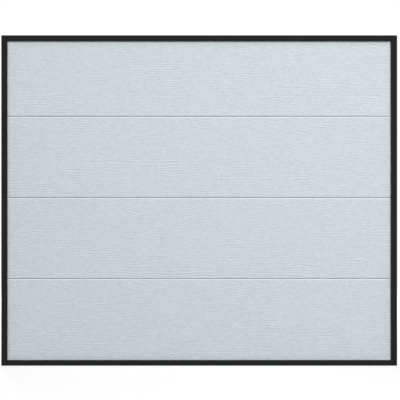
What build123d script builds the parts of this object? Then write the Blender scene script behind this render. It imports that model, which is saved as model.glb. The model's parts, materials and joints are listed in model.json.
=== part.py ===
from build123d import *
import os

os.makedirs("parts", exist_ok=True)

# A sectional overhead garage door, closed, with its frame, tracks and rear torsion springs.
# Sizes are in millimetres. +X is right seen from outside, +Y runs back into the garage, +Z is up.
# The origin is on the floor at mid-width, under the sill, at the back plane of the frame.

# Opening and frame
clear_width = 2500.0
clear_height = 2078.0
leg_face = 39.0
head_face = 38.0
sill_face = 36.0
frame_depth = 20.0
frame_wall = 2.0
frame_edge_radius = 5.0
frame_corner_radius = 6.0
sill_plate = 6.0
sill_plate_depth = 60.0

# Curtain of four insulated sections
section_names = ["bottom", "lower", "upper", "top"]
section_thickness = 42.0
face_recess = 6.0
side_lap = 12.0
head_lap = 26.0
top_trim = 16.0
sill_lap = 2.0
joint_gap = 3.0
shoulder_radius = 8.0
back_edge_radius = 2.0
lip_radius = 1.5
tongue_inset = 8.0
tongue_width = 13.0
tongue_height = 19.0
tongue_tip_radius = 3.5
tongue_clearance = 1.2
hinge_offset = 6.0

# End caps, rails and seals
cap_sheet = 1.5
cap_flange = 70.0
cap_end_clearance = 4.0
rail_height = 14.0
rail_wall = 2.0
seal_wall = 2.5
seal_bulge_radius = 6.0
side_seal_width = 9.0
side_seal_radius = 2.0
seal_inset = 1.5

# Hinges and brackets
hinge_sheet = 2.0
hinge_width = 64.0
hinge_height = 96.0
hinge_corner_cut = 8.0
knuckle_radius = 4.0
knuckle_gap = 1.0
middle_hinge_spacing = 620.0
middle_hinge_count = 3
edge_hinge_inset = 4.0
bracket_sheet = 2.5
bracket_width = 88.0
bottom_bracket_height = 120.0
bottom_roller_rise = 52.0
top_bracket_height = 150.0
top_bracket_drop = 10.0

# Rollers
roller_play = 1.5
roller_width = 13.0
roller_edge_chamfer = 2.0
stem_radius = 5.0
stem_length = 48.0
stem_clearance = 0.15
holder_wall = 3.0
roller_standoff = 25.0
top_roller_standoff = 44.0

# Tracks
track_sheet = 1.5
track_inside = 49.0
track_depth = 17.0
track_lip = 7.0
track_corner_cut = 3.5
track_running_gap = 2.0
curve_radius = 170.0
track_top_gap = 1.5
track_spacing = 1.0
track_foot_gap = 2.0
track_run_on = 262.0
upper_track_start = 62.0
buffer_length = 30.0

# Wall angles, corner plates and rear end
angle_sheet = 2.0
angle_flange = 22.5
angle_rear_reach = 12.0
corner_plate_height = 270.0
corner_plate_reach = 250.0
fixing_hole_radius = 4.5
fixing_hole_count = 4
fixing_hole_y = 24.0
rear_plate_length = 210.0
rear_plate_height = 165.0
bracket_rise = 70.0
wall_bracket_shares = (0.35, 0.7)
wall_bracket_length = 60.0
cross_rail_height = 40.0
cross_rail_width = 44.0
cross_rail_sheet = 2.0
shaft_behind_tracks = 60.0

# Counterbalance
shaft_radius = 12.7
shaft_wall = 2.5
shaft_end_gap = 1.0
bearing_radius = 22.0
bearing_width = 12.0
running_clearance = 0.2
spring_radius = 30.0
spring_wire = 6.0
spring_length = 600.0
plug_length = 40.0
plug_flange = 14.0
plug_flange_radius = 34.0
drum_radius = 48.0
drum_flange_radius = 54.0
drum_width = 13.0
drum_hub_radius = 20.0
drum_hub_length = 14.0
cable_radius = 1.5
cable_seat_gap = 0.3
cable_inset = 5.5
cable_standoff = 13.0
cable_sides = 8
pulley_radius = 26.0
pulley_rim = 4.0
pulley_width = 9.0
wheel_rim_edge = 1.0
groove_floor = 3.0
anchor_pin_radius = 4.0
anchor_rise = 30.0
centre_plate_sheet = 4.0
centre_plate_width = 70.0

# Places worked out from the sizes
half_clear = clear_width / 2
half_outer = half_clear + leg_face
head_z = sill_face + clear_height
outer_height = head_z + head_face
front_y = face_recess
back_y = front_y + section_thickness
curtain_half = half_clear + side_lap
curtain_top = head_z + head_lap
curtain_foot = sill_face - sill_lap
section_pitch = (clear_height + head_lap + top_trim) / len(section_names)
joint_zs = [sill_face + section_pitch * (i + 1) for i in range(len(section_names) - 1)]
hinge_y = back_y + hinge_offset
roller_y = back_y + roller_standoff
cap_x = curtain_half + cap_sheet
mouth_x = cap_x + track_running_gap
web_x = mouth_x + track_depth
angle_x = web_x + track_sheet
plate_x = angle_x + angle_sheet
roller_x = web_x - track_running_gap - roller_width
roller_radius = track_inside / 2 - roller_play
track_half = track_inside / 2 + track_sheet
track_pitch = 2 * track_half + track_spacing
upper_track_z = outer_height - track_top_gap - track_half
lower_track_z = upper_track_z - track_pitch
curve_y = roller_y + curve_radius
curve_z = lower_track_z - curve_radius
track_end_y = clear_height + track_run_on
track_foot_z = sill_plate + track_foot_gap
top_roller_y = back_y + top_roller_standoff
bottom_roller_z = curtain_foot + bottom_roller_rise
cable_x = cap_x - cable_inset
cable_y = roller_y + cable_standoff
pulley_y = cable_y + pulley_radius
corner_plate_z = outer_height - track_top_gap - corner_plate_height
shaft_y = track_end_y + shaft_behind_tracks
drum_pitch_radius = drum_radius + cable_seat_gap + cable_radius
pulley_z = upper_track_z - stem_radius - pulley_radius - cable_radius - pulley_rim - track_lip
cable_run_z = pulley_z + pulley_radius
shaft_z = cable_run_z - drum_pitch_radius
anchor_z = bottom_roller_z - anchor_rise

# Planes that cut the frame's mitres, from each inner corner to each outer corner
right_sill_mitre = Plane(origin=(half_clear, 0, sill_face), x_dir=(0, 1, 0), z_dir=(sill_face, 0, leg_face))
right_head_mitre = Plane(origin=(half_clear, 0, head_z), x_dir=(0, 1, 0), z_dir=(-head_face, 0, leg_face))
left_sill_mitre = Plane(origin=(-half_clear, 0, sill_face), x_dir=(0, 1, 0), z_dir=(-sill_face, 0, leg_face))
left_head_mitre = Plane(origin=(-half_clear, 0, head_z), x_dir=(0, 1, 0), z_dir=(head_face, 0, leg_face))


def member_profile(plane, low_corner, width, height, front_group):
    """Hollow box of one frame member, softened along the two edges that face outside."""
    with BuildSketch(plane) as profile:
        with Locations(low_corner):
            Rectangle(width, height, align=(Align.MIN, Align.MIN))
        fillet(profile.vertices().group_by(front_group)[0], frame_edge_radius)
        offset(amount=-frame_wall, mode=Mode.SUBTRACT)
    return profile.sketch


def frame_outline():
    """Outer outline of the whole frame, with its corners eased."""
    with BuildSketch(Plane.XZ) as outline:
        with Locations((0, outer_height / 2)):
            RectangleRounded(2 * half_outer, outer_height, frame_corner_radius)
    return outline.sketch


# Frame
leg_profile = member_profile(Plane.XY, (half_clear, -frame_depth), leg_face, frame_depth, Axis.Y)
with BuildPart() as frame_right_leg:
    extrude(leg_profile, amount=outer_height)
    split(bisect_by=right_sill_mitre, keep=Keep.TOP)
    split(bisect_by=right_head_mitre, keep=Keep.BOTTOM)
    extrude(frame_outline(), amount=frame_depth, mode=Mode.INTERSECT)
frame_right_leg.part.label = "frame_right_leg"
export_step(frame_right_leg.part, "parts/frame_right_leg.step")

with BuildPart() as frame_left_leg:
    mirror(frame_right_leg.part, about=Plane.YZ)
frame_left_leg.part.label = "frame_left_leg"
export_step(frame_left_leg.part, "parts/frame_left_leg.step")

head_profile = member_profile(Plane.YZ, (-frame_depth, head_z), frame_depth, head_face, Axis.X)
with BuildPart() as frame_head:
    extrude(head_profile, amount=half_outer, both=True)
    split(bisect_by=right_head_mitre, keep=Keep.TOP)
    split(bisect_by=left_head_mitre, keep=Keep.TOP)
    extrude(frame_outline(), amount=frame_depth, mode=Mode.INTERSECT)
frame_head.part.label = "frame_head"
export_step(frame_head.part, "parts/frame_head.step")

sill_profile = member_profile(Plane.YZ, (-frame_depth, 0), frame_depth, sill_face, Axis.X)
with BuildPart() as frame_sill:
    extrude(sill_profile, amount=half_outer, both=True)
    split(bisect_by=right_sill_mitre, keep=Keep.BOTTOM)
    split(bisect_by=left_sill_mitre, keep=Keep.BOTTOM)
    extrude(frame_outline(), amount=frame_depth, mode=Mode.INTERSECT)
    with BuildSketch(Plane.XY) as sill_flat:
        with Locations((0, 0)):
            Rectangle(2 * plate_x, sill_plate_depth, align=(Align.CENTER, Align.MIN))
    extrude(amount=sill_plate)
frame_sill.part.label = "frame_sill"
export_step(frame_sill.part, "parts/frame_sill.step")


def tongue_shape(joint_z, clearance):
    """The tongue at one joint line, grown by a clearance on every side for the groove."""
    reach = hinge_y - front_y - tongue_inset + clearance
    top = joint_z + tongue_height + clearance
    box_width = tongue_inset + tongue_width + clearance
    with BuildSketch(Plane.YZ) as tongue:
        with Locations((hinge_y, joint_z)):
            Circle(reach)
        with Locations((front_y, joint_z - 2 * joint_gap)):
            box_height = top - joint_z + 2 * joint_gap
            Rectangle(box_width, box_height, align=(Align.MIN, Align.MIN), mode=Mode.INTERSECT)
        fillet(tongue.vertices().group_by(Axis.Y)[-1], tongue_tip_radius + clearance)
    return tongue.sketch_local


def section_profile(low_z, high_z, has_groove, has_tongue):
    """Cross-section of a section. The tongue and the groove are arcs about the hinge axis, so the
    joint stays closed to fingers while one section turns against the next."""
    foot = low_z + joint_gap / 2 if has_groove else low_z
    head = high_z - joint_gap / 2 if has_tongue else high_z
    with BuildSketch(Plane.YZ) as profile:
        with Locations((front_y, foot)):
            Rectangle(section_thickness, head - foot, align=(Align.MIN, Align.MIN))
        front_corners = profile.vertices().group_by(Axis.X)[0].sort_by(Axis.Y)
        back_corners = profile.vertices().group_by(Axis.X)[-1]
        fillet(front_corners[0], lip_radius)
        fillet(front_corners[1], shoulder_radius if has_tongue else lip_radius)
        fillet(back_corners, back_edge_radius)
        if has_tongue:
            add(tongue_shape(high_z, 0))
        if has_groove:
            add(tongue_shape(low_z, tongue_clearance), mode=Mode.SUBTRACT)
    return profile.sketch


# Sections and their end caps
section_lows = [curtain_foot] + joint_zs
section_highs = joint_zs + [curtain_top]
for index, name in enumerate(section_names):
    low_z = section_lows[index]
    high_z = section_highs[index]
    profile = section_profile(low_z, high_z, index > 0, index < len(section_names) - 1)
    with BuildPart() as section:
        extrude(profile, amount=curtain_half, both=True)
    section.part.label = f"{name}_section"
    export_step(section.part, f"parts/{name}_section.step")

    with BuildPart() as end_caps:
        extrude(profile.moved(Location((curtain_half, 0, 0))), amount=cap_sheet)
        with BuildSketch(Plane.XZ.offset(-back_y)) as flange:
            with Locations((cap_x, (low_z + high_z) / 2)):
                flange_height = high_z - low_z - 2 * cap_end_clearance
                Rectangle(cap_flange, flange_height, align=(Align.MAX, Align.CENTER))
        extrude(amount=-cap_sheet)
        mirror(about=Plane.YZ)
    end_caps.part.label = f"{name}_section_end_caps"
    export_step(end_caps.part, f"parts/{name}_section_end_caps.step")


# Rail and seal along the foot of the curtain
with BuildPart() as bottom_rail:
    with BuildSketch(Plane.YZ) as rail_profile:
        with Locations((front_y, curtain_foot - rail_height)):
            Rectangle(section_thickness, rail_height, align=(Align.MIN, Align.MIN))
        offset(amount=-rail_wall, kind=Kind.INTERSECTION, mode=Mode.SUBTRACT)
    extrude(amount=curtain_half, both=True)
bottom_rail.part.label = "bottom_rail"
export_step(bottom_rail.part, "parts/bottom_rail.step")

with BuildPart() as bottom_seal:
    seal_top = curtain_foot - rail_height
    with BuildSketch(Plane.YZ) as seal_profile:
        with Locations((front_y + seal_inset, sill_plate)):
            seal_width = section_thickness - 2 * seal_inset
            Rectangle(seal_width, seal_top - sill_plate, align=(Align.MIN, Align.MIN))
        seal_round = min(seal_bulge_radius, (seal_top - sill_plate) / 2 - 1)
        fillet(seal_profile.vertices().group_by(Axis.Y)[0], seal_round)
        offset(amount=-seal_wall, mode=Mode.SUBTRACT)
    extrude(amount=curtain_half, both=True)
bottom_seal.part.label = "bottom_seal"
export_step(bottom_seal.part, "parts/bottom_seal.step")

# Lip seals between the frame and the curtain face
with BuildPart() as right_side_seal:
    with BuildSketch(Plane.XY.offset(sill_face)) as side_profile:
        with Locations((half_clear + seal_inset, 0)):
            Rectangle(side_seal_width, face_recess, align=(Align.MIN, Align.MIN))
        fillet(side_profile.vertices().group_by(Axis.Y)[-1], side_seal_radius)
    extrude(amount=clear_height)
right_side_seal.part.label = "right_side_seal"
export_step(right_side_seal.part, "parts/right_side_seal.step")

with BuildPart() as left_side_seal:
    mirror(right_side_seal.part, about=Plane.YZ)
left_side_seal.part.label = "left_side_seal"
export_step(left_side_seal.part, "parts/left_side_seal.step")

with BuildPart() as head_seal:
    with BuildSketch(Plane.YZ) as head_seal_profile:
        with Locations((0, head_z + seal_inset)):
            Rectangle(face_recess, side_seal_width, align=(Align.MIN, Align.MIN))
        fillet(head_seal_profile.vertices().group_by(Axis.X)[-1], side_seal_radius)
    extrude(amount=curtain_half, both=True)
head_seal.part.label = "head_seal"
export_step(head_seal.part, "parts/head_seal.step")


def hinge_face(centre_x, seat_y, joint_z):
    """Two leaves with clipped corners, parted by a slot at the joint line."""
    with BuildSketch(Plane.XZ.offset(-seat_y)) as leaves:
        with Locations((centre_x, joint_z)):
            Rectangle(hinge_width, hinge_height)
            chamfer(leaves.vertices(), hinge_corner_cut)
            Rectangle(hinge_width, knuckle_gap, mode=Mode.SUBTRACT)
    return leaves.sketch


def knuckle_face(left_x, seat_y, joint_z):
    """Barrel of the hinge with the curl that joins it to both leaves."""
    with BuildSketch(Plane.YZ.offset(left_x)) as knuckle:
        with Locations((hinge_y, joint_z)):
            Circle(knuckle_radius)
        with Locations((seat_y + hinge_sheet / 2, joint_z)):
            curl_depth = hinge_y - seat_y - hinge_sheet / 2
            Rectangle(curl_depth, 2 * knuckle_radius, align=(Align.MIN, Align.CENTER))
    return knuckle.sketch


# Hinges between the sections
middle_xs = [(i - (middle_hinge_count - 1) / 2) * middle_hinge_spacing for i in range(middle_hinge_count)]
with BuildPart() as middle_hinges:
    for joint_z in joint_zs:
        for centre_x in middle_xs:
            extrude(hinge_face(centre_x, back_y, joint_z), amount=-hinge_sheet)
            extrude(knuckle_face(centre_x - hinge_width / 2, back_y, joint_z), amount=hinge_width)
middle_hinges.part.label = "middle_hinges"
export_step(middle_hinges.part, "parts/middle_hinges.step")


def roller_holder(left_x, length, axis_y, axis_z, seat_y):
    """Sleeve that holds a roller stem, standing on its plate by a web as wide as the sleeve."""
    with BuildSketch(Plane.YZ.offset(left_x)) as holder:
        with Locations((axis_y, axis_z)):
            Circle(stem_radius + stem_clearance + holder_wall)
        with Locations((seat_y, axis_z)):
            web_height = 2 * (stem_radius + stem_clearance)
            Rectangle(axis_y - seat_y, web_height, align=(Align.MIN, Align.CENTER))
        with Locations((axis_y, axis_z)):
            Circle(stem_radius + stem_clearance, mode=Mode.SUBTRACT)
    return extrude(holder.sketch, amount=length, mode=Mode.PRIVATE)


cap_back_y = back_y + cap_sheet
edge_hinge_x = cap_x - edge_hinge_inset - hinge_width / 2
holder_length = hinge_width / 2
with BuildPart() as roller_hinges:
    for joint_z in joint_zs:
        extrude(hinge_face(edge_hinge_x, cap_back_y, joint_z), amount=-hinge_sheet)
        extrude(knuckle_face(edge_hinge_x - hinge_width / 2, cap_back_y, joint_z), amount=hinge_width)
        add(roller_holder(edge_hinge_x, holder_length, roller_y, joint_z, hinge_y))
    mirror(about=Plane.YZ)
roller_hinges.part.label = "roller_hinges"
export_step(roller_hinges.part, "parts/roller_hinges.step")

bracket_x = cap_x - edge_hinge_inset
with BuildPart() as bottom_brackets:
    with BuildSketch(Plane.XZ.offset(-cap_back_y)) as foot_plate:
        with Locations((bracket_x, curtain_foot + cap_end_clearance)):
            Rectangle(bracket_width, bottom_bracket_height, align=(Align.MAX, Align.MIN))
        chamfer(foot_plate.vertices(), hinge_corner_cut)
    extrude(amount=-bracket_sheet)
    add(roller_holder(edge_hinge_x, holder_length, roller_y, bottom_roller_z, cap_back_y))
    with BuildSketch(Plane.YZ.offset(edge_hinge_x - bracket_sheet)) as ear:
        with Locations((cap_back_y, curtain_foot + cap_end_clearance)):
            ear_depth = cable_y + 2 * anchor_pin_radius - cap_back_y
            ear_height = bottom_bracket_height / 2
            Rectangle(ear_depth, ear_height, align=(Align.MIN, Align.MIN))
        chamfer(ear.vertices().group_by(Axis.X)[-1], hinge_corner_cut)
        with Locations((roller_y, bottom_roller_z)):
            Circle(stem_radius + stem_clearance, mode=Mode.SUBTRACT)
    extrude(amount=bracket_sheet)
    with BuildSketch(Plane.YZ.offset(edge_hinge_x)) as anchor_pin:
        with Locations((cable_y - anchor_pin_radius - cable_radius - cable_seat_gap, anchor_z)):
            Circle(anchor_pin_radius)
    extrude(amount=cap_x - edge_hinge_x)
    mirror(about=Plane.YZ)
bottom_brackets.part.label = "bottom_brackets"
export_step(bottom_brackets.part, "parts/bottom_brackets.step")

with BuildPart() as top_brackets:
    with BuildSketch(Plane.XZ.offset(-cap_back_y)) as top_plate:
        with Locations((bracket_x, curtain_top - top_bracket_drop)):
            Rectangle(bracket_width, top_bracket_height, align=(Align.MAX, Align.MAX))
        chamfer(top_plate.vertices(), hinge_corner_cut)
    extrude(amount=-bracket_sheet)
    add(roller_holder(edge_hinge_x, holder_length, top_roller_y, upper_track_z, cap_back_y))
    mirror(about=Plane.YZ)
top_brackets.part.label = "top_brackets"
export_step(top_brackets.part, "parts/top_brackets.step")

# Rollers, moulded on the ends of their stems
roller_places = [(roller_y, bottom_roller_z)]
roller_places += [(roller_y, joint_z) for joint_z in joint_zs]
roller_places += [(top_roller_y, upper_track_z)]
with BuildPart() as right_rollers:
    with BuildSketch(Plane.YZ.offset(roller_x)) as roller_faces:
        with Locations(*roller_places):
            Circle(roller_radius)
    extrude(amount=roller_width)
    rims = right_rollers.edges().filter_by(GeomType.CIRCLE)
    chamfer(rims, roller_edge_chamfer)
right_rollers.part.label = "right_rollers"
export_step(right_rollers.part, "parts/right_rollers.step")

with BuildPart() as left_rollers:
    mirror(right_rollers.part, about=Plane.YZ)
left_rollers.part.label = "left_rollers"
export_step(left_rollers.part, "parts/left_rollers.step")

with BuildPart() as roller_stems:
    with BuildSketch(Plane.YZ.offset(roller_x - stem_length)) as stem_faces:
        with Locations(*roller_places):
            Circle(stem_radius)
    extrude(amount=stem_length)
    mirror(about=Plane.YZ)
roller_stems.part.label = "roller_stems"
export_step(roller_stems.part, "parts/roller_stems.step")


def track_face(plane):
    """C-section of a track with its corners bent in two steps. Local X runs across the track and
    local Y out to its web."""
    with BuildSketch(plane) as face:
        with Locations((0, mouth_x)):
            Rectangle(2 * track_half, angle_x - mouth_x, align=(Align.CENTER, Align.MIN))
        chamfer(face.vertices(), track_corner_cut)
        offset(amount=-track_sheet, kind=Kind.INTERSECTION, mode=Mode.SUBTRACT)
        with Locations((0, mouth_x)):
            mouth_width = track_inside - 2 * track_lip
            Rectangle(mouth_width, track_sheet, align=(Align.CENTER, Align.MIN), mode=Mode.SUBTRACT)
    return face.sketch


# Tracks
foot_plane = Plane(origin=(0, roller_y, track_foot_z), x_dir=(0, 1, 0), z_dir=(0, 0, -1))
with BuildPart() as right_vertical_track:
    extrude(track_face(foot_plane), amount=-(curve_z - track_foot_z))
right_vertical_track.part.label = "right_vertical_track"
export_step(right_vertical_track.part, "parts/right_vertical_track.step")

curve_plane = Plane(origin=(0, roller_y, curve_z), x_dir=(0, 1, 0), z_dir=(0, 0, -1))
curve_axis = Axis((0, curve_y, curve_z), (-1, 0, 0))
run_plane = Plane(origin=(0, curve_y, lower_track_z), x_dir=(0, 0, 1), z_dir=(0, 1, 0))
with BuildPart() as right_lower_track:
    revolve(track_face(curve_plane), axis=curve_axis, revolution_arc=90)
    extrude(track_face(run_plane), amount=track_end_y - curve_y)
right_lower_track.part.label = "right_lower_track"
export_step(right_lower_track.part, "parts/right_lower_track.step")

upper_plane = Plane(origin=(0, upper_track_start, upper_track_z), x_dir=(0, 0, 1), z_dir=(0, 1, 0))
with BuildPart() as right_upper_track:
    extrude(track_face(upper_plane), amount=track_end_y - upper_track_start)
right_upper_track.part.label = "right_upper_track"
export_step(right_upper_track.part, "parts/right_upper_track.step")

with BuildPart() as left_vertical_track:
    mirror(right_vertical_track.part, about=Plane.YZ)
left_vertical_track.part.label = "left_vertical_track"
export_step(left_vertical_track.part, "parts/left_vertical_track.step")

with BuildPart() as left_lower_track:
    mirror(right_lower_track.part, about=Plane.YZ)
left_lower_track.part.label = "left_lower_track"
export_step(left_lower_track.part, "parts/left_lower_track.step")

with BuildPart() as left_upper_track:
    mirror(right_upper_track.part, about=Plane.YZ)
left_upper_track.part.label = "left_upper_track"
export_step(left_upper_track.part, "parts/left_upper_track.step")

# Wall angles behind the frame legs, drilled for the wall fixings
angle_top = corner_plate_z - 1
fixing_pitch = (angle_top - sill_plate) / fixing_hole_count
fixing_zs = [sill_plate + fixing_pitch * (i + 0.5) for i in range(fixing_hole_count)]
with BuildPart() as right_wall_angle:
    with BuildSketch(Plane.XY.offset(sill_plate)) as angle_profile:
        with Locations((plate_x, 0)):
            Rectangle(angle_flange, angle_sheet, align=(Align.MAX, Align.MIN))
            angle_depth = roller_y + angle_rear_reach
            Rectangle(angle_sheet, angle_depth, align=(Align.MAX, Align.MIN))
    extrude(amount=angle_top - sill_plate)
    with BuildSketch(Plane.YZ.offset(angle_x)) as angle_holes:
        with Locations(*[(fixing_hole_y, z) for z in fixing_zs]):
            Circle(fixing_hole_radius)
    extrude(amount=angle_sheet, mode=Mode.SUBTRACT)
right_wall_angle.part.label = "right_wall_angle"
export_step(right_wall_angle.part, "parts/right_wall_angle.step")

with BuildPart() as left_wall_angle:
    mirror(right_wall_angle.part, about=Plane.YZ)
left_wall_angle.part.label = "left_wall_angle"
export_step(left_wall_angle.part, "parts/left_wall_angle.step")

# Corner plates that carry the three tracks and the cable pulleys
plate_top = outer_height - track_top_gap
with BuildPart() as corner_plates:
    with BuildSketch(Plane.YZ.offset(angle_x)) as corner_outline:
        with BuildLine():
            Polyline(
                (0, corner_plate_z),
                (roller_y + track_half, corner_plate_z),
                (corner_plate_reach, lower_track_z - track_half),
                (corner_plate_reach, plate_top),
                (0, plate_top),
                close=True,
            )
        make_face()
    extrude(amount=angle_sheet)
    with BuildSketch(Plane.XY.offset(corner_plate_z)) as corner_flange:
        with Locations((plate_x, 0)):
            Rectangle(angle_flange, angle_sheet, align=(Align.MAX, Align.MIN))
    extrude(amount=plate_top - corner_plate_z)
    with BuildSketch(Plane.YZ.offset(cable_x - pulley_width / 2)) as pulley_pin:
        with Locations((pulley_y, pulley_z)):
            Circle(stem_radius)
    extrude(amount=angle_x - cable_x + pulley_width / 2)
    mirror(about=Plane.YZ)
corner_plates.part.label = "corner_plates"
export_step(corner_plates.part, "parts/corner_plates.step")


def grooved_wheel(centre_x, axis_y, axis_z, seat_radius, rim_radius, bore_radius, width):
    """Wheel about an axis along X, with a round groove for the cable."""
    low_x = centre_x - width / 2
    with BuildPart() as wheel:
        with BuildSketch(Plane.YZ.offset(low_x)) as disc:
            with Locations((axis_y, axis_z)):
                Circle(rim_radius)
                Circle(bore_radius, mode=Mode.SUBTRACT)
        extrude(amount=width)
        mouth = width / 2 - wheel_rim_edge
        floor = groove_floor / 2
        with BuildSketch(Plane.XY.offset(axis_z)):
            with BuildLine():
                Polyline(
                    (centre_x - floor, axis_y + seat_radius),
                    (centre_x + floor, axis_y + seat_radius),
                    (centre_x + mouth, axis_y + rim_radius),
                    (centre_x - mouth, axis_y + rim_radius),
                    close=True,
                )
            make_face()
        revolve(axis=Axis((centre_x, axis_y, axis_z), (1, 0, 0)), mode=Mode.SUBTRACT)
    return wheel.part


# Lift cables with their pulleys and drums
pulley_seat = pulley_radius - cable_radius - cable_seat_gap
pulley_edge = pulley_radius + pulley_rim
pin_bore = stem_radius + running_clearance
with BuildPart() as cable_pulleys:
    add(grooved_wheel(cable_x, pulley_y, pulley_z, pulley_seat, pulley_edge, pin_bore, pulley_width))
    mirror(about=Plane.YZ)
cable_pulleys.part.label = "cable_pulleys"
export_step(cable_pulleys.part, "parts/cable_pulleys.step")

shaft_bore = shaft_radius + running_clearance
with BuildPart() as cable_drums:
    add(grooved_wheel(cable_x, shaft_y, shaft_z, drum_radius, drum_flange_radius, shaft_bore, drum_width))
    with BuildSketch(Plane.YZ.offset(cable_x - drum_width / 2)) as hub:
        with Locations((shaft_y, shaft_z)):
            Circle(drum_hub_radius)
            Circle(shaft_bore, mode=Mode.SUBTRACT)
    extrude(amount=-drum_hub_length)
    mirror(about=Plane.YZ)
cable_drums.part.label = "cable_drums"
export_step(cable_drums.part, "parts/cable_drums.step")

with BuildPart() as lift_cables:
    with BuildLine(Plane.YZ.offset(cable_x)) as cable_path:
        rise = Line((cable_y, anchor_z), (cable_y, pulley_z))
        turn = CenterArc((pulley_y, pulley_z), pulley_radius, 180, -90)
        Line(turn @ 1, (shaft_y, cable_run_z))
    with BuildSketch(Plane(origin=(cable_x, cable_y, anchor_z), z_dir=(0, 0, 1))) as cable_face:
        RegularPolygon(cable_radius, cable_sides)
    sweep(path=cable_path.wires()[0])
    mirror(about=Plane.YZ)
lift_cables.part.label = "lift_cables"
export_step(lift_cables.part, "parts/lift_cables.step")

# Rear end plates, cross rail and wall brackets
rear_plate_start = track_end_y + 2 * shaft_behind_tracks + bearing_radius - rear_plate_length
with BuildPart() as rear_side_plates:
    with BuildSketch(Plane.YZ.offset(angle_x)) as rear_outline:
        with Locations((rear_plate_start, plate_top)):
            Rectangle(rear_plate_length, rear_plate_height, align=(Align.MIN, Align.MAX))
        chamfer(rear_outline.vertices().group_by(Axis.Y)[0], bearing_radius)
    extrude(amount=angle_sheet)
    mirror(about=Plane.YZ)
rear_side_plates.part.label = "rear_side_plates"
export_step(rear_side_plates.part, "parts/rear_side_plates.step")

with BuildPart() as rear_cross_rail:
    with BuildSketch(Plane.YZ) as rail_section:
        with Locations((shaft_y, plate_top)):
            Rectangle(cross_rail_width, cross_rail_height, align=(Align.CENTER, Align.MAX))
        with Locations((shaft_y, plate_top - cross_rail_height)):
            inner_width = cross_rail_width - 2 * cross_rail_sheet
            inner_height = cross_rail_height - cross_rail_sheet
            Rectangle(inner_width, inner_height, align=(Align.CENTER, Align.MIN), mode=Mode.SUBTRACT)
    extrude(amount=angle_x, both=True)
rear_cross_rail.part.label = "rear_cross_rail"
export_step(rear_cross_rail.part, "parts/rear_cross_rail.step")

# Torsion shaft, springs and what carries them. The inner plugs stand against the centre plate.
with BuildPart() as torsion_shaft:
    with BuildSketch(Plane.YZ) as shaft_face:
        with Locations((shaft_y, shaft_z)):
            Circle(shaft_radius)
            Circle(shaft_radius - shaft_wall, mode=Mode.SUBTRACT)
    extrude(amount=angle_x - shaft_end_gap, both=True)
torsion_shaft.part.label = "torsion_shaft"
export_step(torsion_shaft.part, "parts/torsion_shaft.step")

with BuildPart() as shaft_bearings:
    with BuildSketch(Plane.YZ.offset(angle_x)) as bearing_face:
        with Locations((shaft_y, shaft_z)):
            Circle(bearing_radius)
            Circle(shaft_bore, mode=Mode.SUBTRACT)
    extrude(amount=-bearing_width)
    mirror(about=Plane.YZ)
shaft_bearings.part.label = "shaft_bearings"
export_step(shaft_bearings.part, "parts/shaft_bearings.step")

with BuildPart() as centre_bearing_plate:
    with BuildSketch(Plane.YZ.offset(-centre_plate_sheet / 2)) as centre_face:
        with Locations((shaft_y, plate_top - cross_rail_sheet)):
            plate_drop = plate_top - cross_rail_sheet - shaft_z
            plate_width = cross_rail_width - 2 * cross_rail_sheet
            Rectangle(plate_width, plate_drop, align=(Align.CENTER, Align.MAX))
        with Locations((shaft_y, shaft_z)):
            Circle(centre_plate_width / 2)
            Circle(shaft_bore, mode=Mode.SUBTRACT)
    extrude(amount=centre_plate_sheet)
centre_bearing_plate.part.label = "centre_bearing_plate"
export_step(centre_bearing_plate.part, "parts/centre_bearing_plate.step")

spring_bore = spring_radius - spring_wire
spring_start = centre_plate_sheet / 2 + plug_flange
with BuildPart() as torsion_springs:
    with BuildSketch(Plane.YZ.offset(spring_start)) as spring_face:
        with Locations((shaft_y, shaft_z)):
            Circle(spring_radius)
            Circle(spring_bore, mode=Mode.SUBTRACT)
    extrude(amount=spring_length)
    mirror(about=Plane.YZ)
torsion_springs.part.label = "torsion_springs"
export_step(torsion_springs.part, "parts/torsion_springs.step")

plug_radius = spring_bore - running_clearance
with BuildPart() as spring_plugs:
    for plug_x, inward in ((spring_start, 1), (spring_start + spring_length, -1)):
        with BuildSketch(Plane.YZ.offset(plug_x)) as plug_face:
            with Locations((shaft_y, shaft_z)):
                Circle(plug_radius)
                Circle(shaft_bore, mode=Mode.SUBTRACT)
        extrude(amount=inward * plug_length)
        with BuildSketch(Plane.YZ.offset(plug_x)) as flange_face:
            with Locations((shaft_y, shaft_z)):
                Circle(plug_flange_radius)
                Circle(shaft_bore, mode=Mode.SUBTRACT)
        extrude(amount=-inward * plug_flange)
    mirror(about=Plane.YZ)
spring_plugs.part.label = "spring_plugs"
export_step(spring_plugs.part, "parts/spring_plugs.step")

# Brackets that hold the tracks to the side walls, and buffers at the track ends
bracket_ys = [(corner_plate_reach + rear_plate_start) * share for share in wall_bracket_shares]
with BuildPart() as wall_brackets:
    for bracket_y in bracket_ys:
        with BuildSketch(Plane.YZ.offset(angle_x)) as wall_plate:
            with Locations((bracket_y, plate_top)):
                plate_drop = bracket_rise + track_pitch
                Rectangle(wall_bracket_length, plate_drop, align=(Align.CENTER, Align.MAX))
            chamfer(wall_plate.vertices().group_by(Axis.Y)[0], hinge_corner_cut)
            with Locations((bracket_y, lower_track_z - track_half - fixing_hole_y / 2)):
                with GridLocations(wall_bracket_length / 2, 0, 2, 1):
                    Circle(fixing_hole_radius, mode=Mode.SUBTRACT)
        extrude(amount=angle_sheet)
    mirror(about=Plane.YZ)
wall_brackets.part.label = "wall_brackets"
export_step(wall_brackets.part, "parts/wall_brackets.step")

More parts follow.
